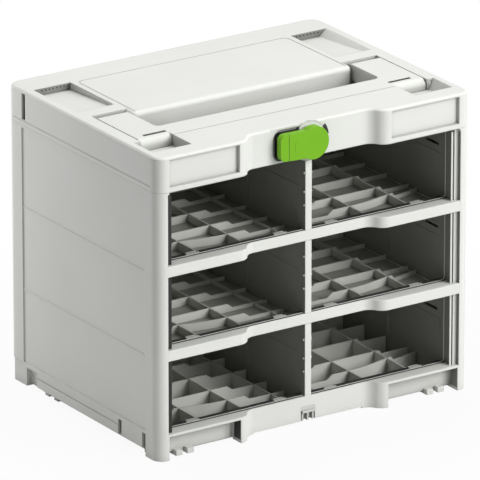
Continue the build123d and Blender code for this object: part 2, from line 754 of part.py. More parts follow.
# Carry handle: an upturned channel with ribs, solid round its pivots
with BuildPart() as carry_handle:
    with BuildSketch(Plane.XY.offset(handle_underside)):
        patch((-handle_half, handle_half), (grip_front, arm_rear))
        patch((-arm_inner, arm_inner), (grip_back, arm_rear), Mode.SUBTRACT)
    extrude(amount=handle_thickness)
    corners = carry_handle.edges().filter_by(Axis.Z)
    fillet(corners.filter_by(lambda e: abs(e.center().Y - behind(grip_back)) < gap), radius=handle_round)
    across = carry_handle.edges().filter_by(Axis.X)
    fillet(across.group_by(Axis.Y)[0].group_by(Axis.Z)[-1], radius=grip_nose)
    # between the pockets the grip has a plain edge along the seam
    middle = front_pocket_x[0] - gap
    block((-middle, middle), (grip_front, grip_front + grip_nose), (height - grip_nose, height))
    heels = carry_handle.edges().filter_by(Axis.X).group_by(Axis.Y)[-1]
    fillet(heels.group_by(Axis.Z)[0], radius=handle_round)
    heels = carry_handle.edges().filter_by(Axis.X).group_by(Axis.Y)[-1]
    fillet(heels.group_by(Axis.Z)[-1], radius=arm_rear - pivot_y - gap)
    # cells under the grip and the arms
    cell = (2 * handle_half - handle_wall) / grip_cells
    for n in range(grip_cells):
        x = -handle_half + handle_wall + n * cell
        block((x, x + cell - handle_wall), (grip_front + handle_wall, grip_back - handle_wall),
              (handle_underside, height - grip_skin), Mode.SUBTRACT)
    arm_cell = (arm_width - 3 * handle_wall) / 2
    arm_run = pivot_y - pivot_solid - grip_back
    for n in range(2):
        x = arm_inner + handle_wall + n * (arm_cell + handle_wall)
        for start in (grip_back, grip_back + (arm_run + handle_wall) / 2):
            blocks_both_sides((x, x + arm_cell), (start, start + (arm_run - handle_wall) / 2),
                              (handle_underside, height - handle_wall), Mode.SUBTRACT)
    # slots near the corners
    insert_y = (grip_front + slot_from_front, grip_front + slot_from_front + slot_width)
    insert_x = (handle_half - slot_from_end - slot_length, handle_half - slot_from_end)
    blocks_both_sides(insert_x, insert_y, (height - slot_depth, height), Mode.SUBTRACT)
    for side in (-1, 1):
        with BuildSketch(Plane.YZ.offset(side * (handle_half - pin_reach))):
            pin_circle(pin_radius + pin_fit)
        extrude(amount=side * pin_reach, mode=Mode.SUBTRACT)
carry_handle.part.label = "carry_handle"

# Dark inserts in the slots of the handle
insert_parts = []
for side, x in (("right", insert_x), ("left", (-insert_x[1], -insert_x[0]))):
    with BuildPart() as insert:
        block(x, insert_y, (height - slot_depth, height - insert_drop))
    insert.part.label = side + "_slot_insert"
    insert_parts.append(insert)

pin_parts = []
for side, sign in (("left", -1), ("right", 1)):
    with BuildPart() as pin:
        with BuildSketch(Plane.YZ.offset(sign * (handle_half - pin_reach + gap))):
            pin_circle(pin_radius)
        extrude(amount=sign * (well_half - handle_half + pin_reach - gap + pin_boss))
    pin.part.label = side + "_handle_pin"
    pin_parts.append(pin)


# Latch: the lever with its hub, and the plate and the screw behind it
with BuildPart() as latch_lever:
    with BuildSketch(facing_front(latch_back)):
        add(latch_outline())
    extrude(amount=latch_back - latch_face)
    # hollow behind, round the hub
    with BuildSketch(facing_front(latch_back)):
        add(latch_outline(-latch_shell, plain=True))
        with Locations((0, latch_z)):
            Circle(hub_radius, mode=Mode.SUBTRACT)
    extrude(amount=latch_back - latch_face - latch_shell, mode=Mode.SUBTRACT)
    with BuildSketch(facing_front(latch_back)):
        with Locations((0, latch_z)):
            Circle(hub_radius)
    extrude(amount=latch_back - hub_back)
    with BuildSketch(facing_front(hub_back)):
        with Locations((0, latch_z)):
            Circle(latch_screw_radius)
    extrude(amount=latch_screw_length, mode=Mode.SUBTRACT)
    block((-grip_line - grip_line_width / 2, -grip_line + grip_line_width / 2),
          (latch_face, latch_face + grip_line_depth), (rail_bottom, height), Mode.SUBTRACT)
latch_lever.part.label = "latch_lever"

with BuildPart() as latch_backplate:
    with BuildSketch(facing_front(recess_depth + latch_pocket)):
        add(latch_outline(latch_margin - gap, plain=True))
        with Locations((0, latch_z)):
            Circle(hub_radius + hub_fit, mode=Mode.SUBTRACT)
    extrude(amount=recess_depth + latch_pocket - plate_front)
    block((-width, width), (0, depth), (height - edge_round, height + latch_radius), Mode.SUBTRACT)
latch_backplate.part.label = "latch_backplate"

# A screw with a square plate under its head holds the hub from behind
with BuildPart() as latch_screw:
    block((-lock_plate_half, lock_plate_half), (hub_back, hub_back + lock_plate_thickness),
          (latch_z - lock_plate_half, latch_z + lock_plate_half))
    with BuildSketch(facing_front(hub_back + lock_plate_thickness)):
        with Locations((0, latch_z)):
            RegularPolygon(latch_head_radius, 6)
    extrude(amount=-latch_head_height)
    with BuildSketch(facing_front(hub_back)):
        with Locations((0, latch_z)):
            Circle(latch_screw_radius)
    extrude(amount=latch_screw_length)
latch_screw.part.label = "latch_screw"


for made in [base_tray, coupling_catch, left_side_wall, right_side_wall, rear_wall, top_cover, ceiling_panel,
             carry_handle, latch_lever, latch_backplate, latch_screw,
             *pin_parts, *insert_parts, *shelf_parts, *divider_parts, *liner_parts, *grid_parts]:
    export_step(made.part, "parts/" + made.part.label + ".step")
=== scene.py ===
import json
import math
import bmesh
import bpy
from mathutils import Matrix, Vector


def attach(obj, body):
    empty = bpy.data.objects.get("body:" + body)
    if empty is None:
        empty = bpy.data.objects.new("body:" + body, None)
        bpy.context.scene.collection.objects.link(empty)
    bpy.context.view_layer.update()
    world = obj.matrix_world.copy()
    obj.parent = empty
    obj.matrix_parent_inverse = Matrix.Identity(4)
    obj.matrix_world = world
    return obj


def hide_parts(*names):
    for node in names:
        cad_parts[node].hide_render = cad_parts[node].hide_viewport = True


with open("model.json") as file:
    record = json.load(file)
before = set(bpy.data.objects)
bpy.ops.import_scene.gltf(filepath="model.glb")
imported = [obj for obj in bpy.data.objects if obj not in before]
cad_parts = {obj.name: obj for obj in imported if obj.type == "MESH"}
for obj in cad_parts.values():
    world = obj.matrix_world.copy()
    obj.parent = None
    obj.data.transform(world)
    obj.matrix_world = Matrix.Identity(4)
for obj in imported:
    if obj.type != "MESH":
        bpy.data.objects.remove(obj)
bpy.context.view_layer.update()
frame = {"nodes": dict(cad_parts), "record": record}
print("frame loaded:", len(frame["nodes"]), "nodes")


# camera and light

cameraSettings = {
    "azimuth": -33.443,
    "elevation": 20.112,
    "distance": 8.1673,
    "aimHeight": 0.1685,
    "slideRight": 0.00179,
    "slideUp": -0.00419,
    "lens": 573.6,
    "sensorWidth": 36,
    "farLimit": 30,
}


def viewAxes(azimuth, elevation):
    a, e = math.radians(azimuth), math.radians(elevation)
    right = Vector((math.cos(a), math.sin(a), 0))
    back = Vector((math.sin(a) * math.cos(e), -math.cos(a) * math.cos(e), math.sin(e)))
    return right, back.cross(right), back


def addCamera(s):
    right, up, back = viewAxes(s["azimuth"], s["elevation"])
    stand = Vector((0, 0, s["aimHeight"])) + right * s["slideRight"] + up * s["slideUp"] + back * s["distance"]
    camera = bpy.data.objects.new("camera", bpy.data.cameras.new("camera"))
    camera.data.lens = s["lens"]
    camera.data.sensor_width = s["sensorWidth"]
    camera.data.clip_end = s["farLimit"]
    camera.matrix_world = Matrix((right, up, back)).transposed().to_4x4()
    camera.location = stand
    bpy.context.scene.collection.objects.link(camera)
    bpy.context.scene.camera = camera


lightSettings = {
    "key": {"place": (1.5, -2.7, 1.8), "aim": (0, 0, 0.15), "size": 2.2, "power": 97},
    "top": {"place": (0.1, 0.2, 2.4), "aim": (0, 0, 0.2), "size": 1.8, "power": 29},
    "left": {"place": (-0.42, 0.6, 0.32), "aim": (-0.2, 0.14, 0.2), "size": 0.3, "power": 1.9},
}


def addSoftLight(name, s):
    data = bpy.data.lights.new(name, "AREA")
    data.shape = "DISK"
    data.size = s["size"]
    data.energy = s["power"]
    lamp = bpy.data.objects.new(name, data)
    stand = Vector(s["place"])
    lamp.location = stand
    lamp.rotation_euler = (stand - Vector(s["aim"])).to_track_quat("Z", "Y").to_euler()
    lamp.visible_camera = False
    bpy.context.scene.collection.objects.link(lamp)


worldSettings = {"ambient": 0.25, "seen": 1.0}


def seenRay(nodes, links):
    # one where the ray comes from the camera, a mirror or a clear material
    path = nodes.new("ShaderNodeLightPath")
    found = path.outputs["Is Camera Ray"]
    for other in ("Is Glossy Ray", "Is Transmission Ray"):
        either = nodes.new("ShaderNodeMath")
        either.operation = "MAXIMUM"
        links.new(found, either.inputs[0])
        links.new(path.outputs[other], either.inputs[1])
        found = either.outputs[0]
    return found


def setWorld(s):
    world = bpy.data.worlds.new("studio")
    world.use_nodes = True
    nodes, links = world.node_tree.nodes, world.node_tree.links
    nodes.clear()
    ambient = nodes.new("ShaderNodeBackground")
    ambient.inputs["Color"].default_value = (1, 1, 1, 1)
    ambient.inputs["Strength"].default_value = s["ambient"]
    seen = nodes.new("ShaderNodeBackground")
    seen.inputs["Color"].default_value = (1, 1, 1, 1)
    seen.inputs["Strength"].default_value = s["seen"]
    mix = nodes.new("ShaderNodeMixShader")
    path = nodes.new("ShaderNodeLightPath")
    links.new(path.outputs["Is Camera Ray"], mix.inputs["Fac"])
    links.new(ambient.outputs[0], mix.inputs[1])
    links.new(seen.outputs[0], mix.inputs[2])
    links.new(mix.outputs[0], nodes.new("ShaderNodeOutputWorld").inputs["Surface"])
    bpy.context.scene.world = world


floorSettings = {"half": 6.0, "colour": (0.62, 0.62, 0.62, 1), "glow": 1.0, "nearShare": 0.93, "farShare": 1.0,
                 "shadowReach": (0.24, 0.62)}


def addFloor(s):
    mesh = bpy.data.meshes.new("floor")
    h = s["half"]
    mesh.from_pydata([(-h, -h, 0), (h, -h, 0), (h, h, 0), (-h, h, 0)], [], [(0, 1, 2, 3)])
    floor = bpy.data.objects.new("floor", mesh)
    bpy.context.scene.collection.objects.link(floor)
    material = bpy.data.materials.new("paleFloor")
    material.use_nodes = True
    nodes, links = material.node_tree.nodes, material.node_tree.links
    nodes.clear()
    matt = nodes.new("ShaderNodeBsdfDiffuse")
    matt.inputs["Color"].default_value = s["colour"]
    glow = nodes.new("ShaderNodeEmission")
    glow.inputs["Strength"].default_value = s["glow"]
    # the floor turns to white paper away from the object and keeps its shadow near it
    where = nodes.new("ShaderNodeTexCoord")
    reach = nodes.new("ShaderNodeVectorMath")
    reach.operation = "LENGTH"
    links.new(where.outputs["Object"], reach.inputs[0])
    spread = nodes.new("ShaderNodeMapRange")
    spread.interpolation_type = "SMOOTHSTEP"
    for label, value in (("From Min", s["shadowReach"][0]), ("From Max", s["shadowReach"][1]),
                         ("To Min", s["nearShare"]), ("To Max", s["farShare"])):
        spread.inputs[label].default_value = value
    links.new(reach.outputs["Value"], spread.inputs["Value"])
    share = nodes.new("ShaderNodeMath")
    share.operation = "MULTIPLY"
    links.new(spread.outputs["Result"], share.inputs[1])
    links.new(seenRay(nodes, links), share.inputs[0])
    mix = nodes.new("ShaderNodeMixShader")
    links.new(share.outputs[0], mix.inputs["Fac"])
    links.new(matt.outputs[0], mix.inputs[1])
    links.new(glow.outputs[0], mix.inputs[2])
    links.new(mix.outputs[0], nodes.new("ShaderNodeOutputMaterial").inputs["Surface"])
    mesh.materials.append(material)


bpy.context.scene.view_settings.view_transform = "Standard"
addCamera(cameraSettings)
for name, s in lightSettings.items():
    addSoftLight(name, s)
setWorld(worldSettings)
addFloor(floorSettings)
print("camera, light and floor placed")


# effects that several plastics share

def newGroup(name, inputs, outputs):
    group = bpy.data.node_groups.new(name, "ShaderNodeTree")
    for label, kind, value in inputs:
        socket = group.interface.new_socket(label, in_out="INPUT", socket_type=kind)
        socket.default_value = value
    for label, kind in outputs:
        group.interface.new_socket(label, in_out="OUTPUT", socket_type=kind)
    return group, group.nodes.new("NodeGroupInput"), group.nodes.new("NodeGroupOutput")


def mathNode(group, operation, first, second=None, clamp=False):
    node = group.nodes.new("ShaderNodeMath")
    node.operation = operation
    node.use_clamp = clamp
    for n, value in enumerate((first, second)):
        if value is None:
            continue
        if isinstance(value, (int, float)):
            node.inputs[n].default_value = value
        else:
            group.links.new(value, node.inputs[n])
    return node.outputs[0]


def noiseNode(group, scale, detail=2.0, roughness=0.5):
    where = group.nodes.new("ShaderNodeTexCoord")
    noise = group.nodes.new("ShaderNodeTexNoise")
    group.links.new(where.outputs["Object"], noise.inputs["Vector"])
    if isinstance(scale, (int, float)):
        noise.inputs["Scale"].default_value = scale
    else:
        group.links.new(scale, noise.inputs["Scale"])
    noise.inputs["Detail"].default_value = detail
    noise.inputs["Roughness"].default_value = roughness
    return noise.outputs["Fac"]


# spark-eroded mould texture: fine pits and a coarser leather-like swell
grainShares = {"fineDetail": 3.0, "fineRoughness": 0.6, "broadScale": 0.22, "broadDetail": 1.0, "roughness": 0.18}


def makeMouldGrain(s):
    group, given, out = newGroup(
        "mouldGrain",
        [("Pits per metre", "NodeSocketFloat", 1500), ("Swell", "NodeSocketFloat", 0.35)],
        [("Height", "NodeSocketFloat"), ("Roughness change", "NodeSocketFloat")])
    fine = noiseNode(group, given.outputs["Pits per metre"], s["fineDetail"], s["fineRoughness"])
    broadScale = mathNode(group, "MULTIPLY", given.outputs["Pits per metre"], s["broadScale"])
    broad = noiseNode(group, broadScale, s["broadDetail"])
    swell = mathNode(group, "MULTIPLY", broad, given.outputs["Swell"])
    group.links.new(mathNode(group, "ADD", fine, swell), out.inputs["Height"])
    change = mathNode(group, "MULTIPLY", mathNode(group, "SUBTRACT", fine, 0.5), s["roughness"])
    group.links.new(change, out.inputs["Roughness change"])
    return group


# faint clouds in the colour, as moulding leaves them
cloudShares = {"detail": 4.0, "roughness": 0.55, "darkBelow": 0.3, "lightAbove": 0.7}


def makeFlowTone(s):
    group, given, out = newGroup(
        "flowTone",
        [("Light tone", "NodeSocketColor", (0.8, 0.8, 0.8, 1)), ("Dark tone", "NodeSocketColor", (0.7, 0.7, 0.7, 1)),
         ("Clouds per metre", "NodeSocketFloat", 9)],
        [("Color", "NodeSocketColor")])
    cloud = noiseNode(group, given.outputs["Clouds per metre"], s["detail"], s["roughness"])
    spread = group.nodes.new("ShaderNodeMapRange")
    spread.inputs["From Min"].default_value = s["darkBelow"]
    spread.inputs["From Max"].default_value = s["lightAbove"]
    group.links.new(cloud, spread.inputs["Value"])
    mix = group.nodes.new("ShaderNodeMix")
    mix.data_type = "RGBA"
    group.links.new(spread.outputs["Result"], mix.inputs["Factor"])
    group.links.new(given.outputs["Dark tone"], mix.inputs["A"])
    group.links.new(given.outputs["Light tone"], mix.inputs["B"])
    group.links.new(mix.outputs["Result"], out.inputs["Color"])
    return group


# the small radius of each moulded edge, and a mask of where it lies, which also carries a painted edge tone
edgeShares = {"samples": 6, "sharpness": 6.0}


def makeSoftEdge(s):
    group, given, out = newGroup(
        "softEdge",
        [("Radius", "NodeSocketFloat", 0.0006)],
        [("Normal", "NodeSocketVector"), ("Edge", "NodeSocketFloat")])
    bevel = group.nodes.new("ShaderNodeBevel")
    bevel.samples = s["samples"]
    group.links.new(given.outputs["Radius"], bevel.inputs["Radius"])
    flat = group.nodes.new("ShaderNodeNewGeometry")
    along = group.nodes.new("ShaderNodeVectorMath")
    along.operation = "DOT_PRODUCT"
    group.links.new(bevel.outputs["Normal"], along.inputs[0])
    group.links.new(flat.outputs["Normal"], along.inputs[1])
    turned = mathNode(group, "SUBTRACT", 1.0, along.outputs["Value"])
    mask = mathNode(group, "MULTIPLY", turned, s["sharpness"], clamp=True)
    group.links.new(bevel.outputs["Normal"], out.inputs["Normal"])
    group.links.new(mask, out.inputs["Edge"])
    return group


# thin dust on faces that look up
dustShares = {"falloff": 3.0, "patchesPerMetre": 60, "detail": 4.0, "roughness": 0.65}


def makeSettledDust(s):
    group, given, out = newGroup(
        "settledDust",
        [("Amount", "NodeSocketFloat", 0.2)],
        [("Dust", "NodeSocketFloat")])
    flat = group.nodes.new("ShaderNodeNewGeometry")
    split = group.nodes.new("ShaderNodeSeparateXYZ")
    group.links.new(flat.outputs["Normal"], split.inputs[0])
    upward = mathNode(group, "POWER", mathNode(group, "MAXIMUM", split.outputs["Z"], 0.0), s["falloff"])
    patchy = noiseNode(group, s["patchesPerMetre"], s["detail"], s["roughness"])
    dust = mathNode(group, "MULTIPLY", mathNode(group, "MULTIPLY", upward, patchy), given.outputs["Amount"])
    group.links.new(dust, out.inputs["Dust"])
    return group


# painted shade: how far a spot lies down in a gap or a corner, one in the open, lower between close walls, which
# darkens the colour there
creviceShadeShares = {"samples": 8, "curve": 1.4}


def makeCreviceShade(s):
    group, given, out = newGroup(
        "creviceShade",
        [("Reach", "NodeSocketFloat", 0.014), ("Depth", "NodeSocketFloat", 0.6)],
        [("Shade", "NodeSocketFloat")])
    near = group.nodes.new("ShaderNodeAmbientOcclusion")
    near.samples = s["samples"]
    group.links.new(given.outputs["Reach"], near.inputs["Distance"])
    closed = mathNode(group, "SUBTRACT", 1.0, near.outputs["AO"])
    deep = mathNode(group, "MULTIPLY", mathNode(group, "POWER", closed, s["curve"]), given.outputs["Depth"])
    group.links.new(mathNode(group, "SUBTRACT", 1.0, deep, clamp=True), out.inputs["Shade"])
    return group


# painted light and shade: a factor that runs from the front of the case to its rear, between two places in metres,
# which darkens the colour at the front and lightens it at the rear
rearLightShares = {"front": -0.14, "rear": 0.10}


def makeRearLightTone(s):
    group, given, out = newGroup(
        "paintedRearLight",
        [("At front", "NodeSocketFloat", 1.0), ("At rear", "NodeSocketFloat", 1.0)],
        [("Factor", "NodeSocketFloat")])
    where = group.nodes.new("ShaderNodeTexCoord")
    split = group.nodes.new("ShaderNodeSeparateXYZ")
    group.links.new(where.outputs["Object"], split.inputs[0])
    run = group.nodes.new("ShaderNodeMapRange")
    run.inputs["From Min"].default_value = s["front"]
    run.inputs["From Max"].default_value = s["rear"]
    group.links.new(split.outputs["Y"], run.inputs["Value"])
    group.links.new(given.outputs["At front"], run.inputs["To Min"])
    group.links.new(given.outputs["At rear"], run.inputs["To Max"])
    group.links.new(run.outputs["Result"], out.inputs["Factor"])
    return group


groups = {
    "grain": makeMouldGrain(grainShares),
    "tone": makeFlowTone(cloudShares),
    "edge": makeSoftEdge(edgeShares),
    "dust": makeSettledDust(dustShares),
    "creviceShade": makeCreviceShade(creviceShadeShares),
    "depth": makeRearLightTone(rearLightShares),
}
print("shared effects made:", len(groups))


def useGroup(nodes, key, **values):
    node = nodes.new("ShaderNodeGroup")
    node.node_tree = groups[key]
    for label, value in values.items():
        node.inputs[label.replace("_", " ")].default_value = value
    return node


def screenTone(red, green, blue):
    # a screen colour of 0 to 255 as linear light
    def linear(c):
        c = c / 255
        return c / 12.92 if c <= 0.04045 else ((c + 0.055) / 1.055) ** 2.4
    return (linear(red), linear(green), linear(blue), 1)


# plastics and steel; the cover, pocket and collar kinds are the shell's plastic with painted light and shade: the
# cover with a wider painted shade and darker painted edges, the pocket darker as painted shade, the collar paler as
# painted light

finishSettings = {
    "shell_plastic": {"light": (228, 229, 225), "dark": (223, 224, 219), "clouds": 7, "roughness": 0.55,
                      "pits": 1400, "swell": 0.4, "depth": 0.00006, "edgeRadius": 0.0007, "paintedEdgeShare": 0.05,
                      "dust": 0.03, "specular": 0.35, "paintedEdgeTone": (214, 215, 210),
                      "shadeReach": 0.012, "shadeDepth": 0.3, "paintedLightFront": 1.00, "paintedLightRear": 1.00},
    "cover_shade_plastic": {"light": (228, 229, 225), "dark": (223, 224, 219), "clouds": 7, "roughness": 0.55,
                      "pits": 1400, "swell": 0.4, "depth": 0.00006, "edgeRadius": 0.0022, "paintedEdgeShare": 0.55,
                      "dust": 0.03, "specular": 0.35, "paintedEdgeTone": (208, 209, 204),
                      "shadeReach": 0.055, "shadeDepth": 0.66, "paintedLightFront": 1.00, "paintedLightRear": 1.00},
    # the linings' dark tone and the grids' greyer tone are painted shade: both stand for the shell's light grey
    # plastic in the shade of the bays
    "liner_plastic": {"light": (146, 147, 140), "dark": (135, 136, 130), "clouds": 12, "roughness": 0.6,
                      "pits": 1300, "swell": 0.5, "depth": 0.00008, "edgeRadius": 0.0005, "paintedEdgeShare": 0.10,
                      "dust": 0.06, "specular": 0.3, "paintedEdgeTone": (232, 231, 226),
                      "shadeReach": 0.012, "shadeDepth": 0.5, "paintedLightFront": 0.82, "paintedLightRear": 1.90},
    "grid_plastic": {"light": (200, 200, 195), "dark": (188, 188, 183), "clouds": 10, "roughness": 0.5,
                     "pits": 1600, "swell": 0.3, "depth": 0.00005, "edgeRadius": 0.0004, "paintedEdgeShare": 0.10,
                     "dust": 0.05, "specular": 0.35, "paintedEdgeTone": (232, 231, 226),
                     "shadeReach": 0.012, "shadeDepth": 0.45, "paintedLightFront": 0.88, "paintedLightRear": 1.85},
    "catch_plastic": {"light": (214, 214, 210), "dark": (206, 206, 202), "clouds": 14, "roughness": 0.5,
                      "pits": 1600, "swell": 0.3, "depth": 0.00005, "edgeRadius": 0.0004, "paintedEdgeShare": 0.05,
                      "dust": 0.02, "specular": 0.35, "paintedEdgeTone": (232, 231, 226),
                      "shadeReach": 0.012, "shadeDepth": 0.6, "paintedLightFront": 1.00, "paintedLightRear": 1.00},
    "latch_plastic": {"light": (121, 184, 20), "dark": (115, 178, 15), "clouds": 16, "roughness": 0.38,
                      "pits": 1900, "swell": 0.25, "depth": 0.00004, "edgeRadius": 0.0009, "paintedEdgeShare": 0.06,
                      "dust": 0.01, "specular": 0.3, "paintedEdgeTone": (232, 231, 226),
                      "shadeReach": 0.004, "shadeDepth": 0.25, "paintedLightFront": 1.00, "paintedLightRear": 1.00},
    "pocket_shade_plastic": {"light": (150, 151, 147), "dark": (140, 141, 137), "clouds": 14, "roughness": 0.55,
                       "pits": 1400, "swell": 0.4, "depth": 0.00005, "edgeRadius": 0.0004, "paintedEdgeShare": 0.05,
                       "dust": 0.02, "specular": 0.3, "paintedEdgeTone": (214, 215, 210),
                       "shadeReach": 0.02, "shadeDepth": 0.7, "paintedLightFront": 1.00, "paintedLightRear": 1.00},
    "collar_lit_plastic": {"light": (236, 237, 233), "dark": (232, 233, 228), "clouds": 7, "roughness": 0.55,
                       "pits": 1400, "swell": 0.4, "depth": 0.00006, "edgeRadius": 0.0007, "paintedEdgeShare": 0.05,
                       "dust": 0.03, "specular": 0.35, "paintedEdgeTone": (214, 215, 210),
                       "shadeReach": 0.004, "shadeDepth": 0.05, "paintedLightFront": 1.00, "paintedLightRear": 1.00},
    "backplate_plastic": {"light": (52, 53, 51), "dark": (44, 45, 43), "clouds": 14, "roughness": 0.6,
                          "pits": 1500, "swell": 0.3, "depth": 0.00005, "edgeRadius": 0.0004, "paintedEdgeShare": 0.05,
                          "dust": 0.03, "specular": 0.3, "paintedEdgeTone": (232, 231, 226),
                          "shadeReach": 0.008, "shadeDepth": 0.5, "paintedLightFront": 1.00, "paintedLightRear": 1.00},
}


def addSurface(nodes, links, shader, grain, edge, s):
    # roughness and relief follow the grain, over edges that are rounded
    rough = nodes.new("ShaderNodeMath")
    rough.inputs[0].default_value = s["roughness"]
    links.new(grain.outputs["Roughness change"], rough.inputs[1])
    links.new(rough.outputs[0], shader.inputs["Roughness"])
    bump = nodes.new("ShaderNodeBump")
    bump.inputs["Distance"].default_value = s["depth"]
    links.new(grain.outputs["Height"], bump.inputs["Height"])
    links.new(edge.outputs["Normal"], bump.inputs["Normal"])
    links.new(bump.outputs["Normal"], shader.inputs["Normal"])


def mouldedPlastic(name, s):
    material = bpy.data.materials.new(name)
    material.use_nodes = True
    nodes, links = material.node_tree.nodes, material.node_tree.links
    shader = nodes["Principled BSDF"]
    shader.inputs["Specular IOR Level"].default_value = s["specular"]
    tone = useGroup(nodes, "tone", Light_tone=screenTone(*s["light"]), Dark_tone=screenTone(*s["dark"]),
                    Clouds_per_metre=s["clouds"])
    edge = useGroup(nodes, "edge", Radius=s["edgeRadius"])
    dust = useGroup(nodes, "dust", Amount=s["dust"])
    grain = useGroup(nodes, "grain", Pits_per_metre=s["pits"], Swell=s["swell"])
    # rounded edges take a painted highlight on the darker plastics and a painted shade on the paler ones, and dust
    # takes the same tone
    lift = nodes.new("ShaderNodeMath")
    lift.operation = "MULTIPLY_ADD"
    lift.inputs[1].default_value = s["paintedEdgeShare"]
    links.new(edge.outputs["Edge"], lift.inputs[0])
    links.new(dust.outputs["Dust"], lift.inputs[2])
    pale = nodes.new("ShaderNodeMix")
    pale.data_type = "RGBA"
    pale.inputs["B"].default_value = screenTone(*s["paintedEdgeTone"])
    links.new(lift.outputs[0], pale.inputs["Factor"])
    links.new(tone.outputs["Color"], pale.inputs["A"])
    # painted shade: close gaps and inner corners are darkened in the colour
    shade = useGroup(nodes, "creviceShade", Reach=s["shadeReach"], Depth=s["shadeDepth"])
    shaded = nodes.new("ShaderNodeMix")
    shaded.data_type = "RGBA"
    shaded.blend_type = "MULTIPLY"
    shaded.inputs["Factor"].default_value = 1.0
    links.new(pale.outputs["Result"], shaded.inputs["A"])
    # painted light: the bay linings and grids grow lighter towards the rear of the case, beyond their own colour
    deep = useGroup(nodes, "depth", At_front=s["paintedLightFront"], At_rear=s["paintedLightRear"])
    both = nodes.new("ShaderNodeMath")
    both.operation = "MULTIPLY"
    links.new(shade.outputs["Shade"], both.inputs[0])
    links.new(deep.outputs["Factor"], both.inputs[1])
    links.new(both.outputs[0], shaded.inputs["B"])
    links.new(shaded.outputs["Result"], shader.inputs["Base Color"])
    addSurface(nodes, links, shader, grain, edge, s)
    return material


steelSettings = {
    "pin_steel": {"colour": (176, 177, 178), "roughness": 0.28, "linesPerMetre": 2600, "swell": 0.5,
                  "depth": 0.00002, "edgeRadius": 0.0003},
    "screw_steel": {"colour": (168, 169, 172), "roughness": 0.33, "linesPerMetre": 1800, "swell": 0.5,
                    "depth": 0.00002, "edgeRadius": 0.0003},
}


def turnedSteel(name, s):
    material = bpy.data.materials.new(name)
    material.use_nodes = True
    nodes, links = material.node_tree.nodes, material.node_tree.links
    shader = nodes["Principled BSDF"]
    shader.inputs["Metallic"].default_value = 1
    shader.inputs["Base Color"].default_value = screenTone(*s["colour"])
    grain = useGroup(nodes, "grain", Pits_per_metre=s["linesPerMetre"], Swell=s["swell"])
    edge = useGroup(nodes, "edge", Radius=s["edgeRadius"])
    addSurface(nodes, links, shader, grain, edge, s)
    return material


materials = {name: mouldedPlastic(name, s) for name, s in finishSettings.items()}
materials.update({name: turnedSteel(name, s) for name, s in steelSettings.items()})
print("materials made:", len(materials))


# these two nodes lie open to the sky and take the cover's plastic, with its wider painted shade and darker painted
# edges
coverNodes = ("top_cover", "carry_handle")


def finishNodes():
    for part in frame["record"]["subparts"]:
        node = frame["nodes"][part["node"]]
        node.data.materials.clear()
        finish = "cover_shade_plastic" if part["node"] in coverNodes else part["material_slot"]
        node.data.materials.append(materials[finish])


finishNodes()
print("materials placed on the nodes")


# small pieces that the solids leave out, in millimetres on the case's own axes; y counts from the front

millimetre = 0.001
caseFront = -148
rackSizes = {"barTops": (29.2, 122.8, 216.4), "floors": (4.2, 113.2, 206.8), "ceilings": (110.8, 204.4, 293.8),
             "bayOuter": 176, "jambInner": 178, "jambFront": 185, "postHalf": 3.9}


def place(x, y, z):
    return Vector((x, caseFront + y, z)) * millimetre


def boxInto(mesh, x, y, z):
    corners = [mesh.verts.new(place(a, b, c)) for c in sorted(z) for b in sorted(y) for a in sorted(x)]
    for face in ((0, 2, 3, 1), (4, 5, 7, 6), (0, 1, 5, 4), (2, 6, 7, 3), (0, 4, 6, 2), (1, 3, 7, 5)):
        mesh.faces.new([corners[n] for n in face])


def ringInto(mesh, outer, inner, y):
    # a plate between two closed outlines of (x, z) points, as many in one as in the other
    loops = [[mesh.verts.new(place(a, b, c)) for a, c in outline] for b in y for outline in (outer, inner)]
    count = len(outer)
    for n in range(count):
        m = (n + 1) % count
        for a, b in ((0, 1), (3, 2), (2, 0), (1, 3)):
            mesh.faces.new((loops[a][n], loops[a][m], loops[b][m], loops[b][n]))


def plateInto(mesh, outline, y):
    near, far = ([mesh.verts.new(place(a, b, c)) for a, c in outline] for b in y)
    mesh.faces.new(near)
    mesh.faces.new(list(reversed(far)))
    for n in range(len(outline)):
        m = (n + 1) % len(outline)
        mesh.faces.new((near[m], near[n], far[n], far[m]))


def addPiece(name, mesh, finish, body="root", soften=0.0):
    bmesh.ops.recalc_face_normals(mesh, faces=mesh.faces)
    data = bpy.data.meshes.new(name)
    mesh.to_mesh(data)
    mesh.free()
    data.materials.append(materials[finish])
    piece = bpy.data.objects.new(name, data)
    bpy.context.scene.collection.objects.link(piece)
    if soften:
        edge = piece.modifiers.new("softened", "BEVEL")
        edge.width = soften * millimetre
        edge.segments = 2
        edge.limit_method = "ANGLE"
    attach(piece, body)
    return piece


def bothSides(mesh, x, y, z):
    boxInto(mesh, x, y, z)
    boxInto(mesh, (-x[0], -x[1]), y, z)


# painted shade: a dark lining goes round the front edges of the bays and over their floors, where the bays lie in
# shade
shadeLiningSettings = {"thick": 0.12, "edge": 0.5, "proud": 0.02, "postFront": 14.0, "linerFront": 19.7,
                  "jambStep": 4.6, "jambPale": 5.5, "trimX": (176.1, 178.2),
                  "floorY": (21.6, 290.0), "floorInset": 0.2, "floorThick": 0.35,
                  "slotX": (1.6, 0.06), "slotY": (31.1, 54.9), "slotZ": (54.6, 57.4),
                  "nubs": (28.0, 43.0, 64.0), "nubReach": 5.36, "nubBack": 18.1,
                  "nubSleeve": ((14.9, -1.56, -0.7), (14.9, 0.7, 1.56), (16.0, -0.7, 0.7)),
                  "footFaces": ((184.0, 183.65), (-184.0, -183.65), (94.0, 94.35)), "darkFootFace": (-94.0, -94.35),
                  "footY": (1.2, 13.0), "footZ": (3.6, 25.4)}


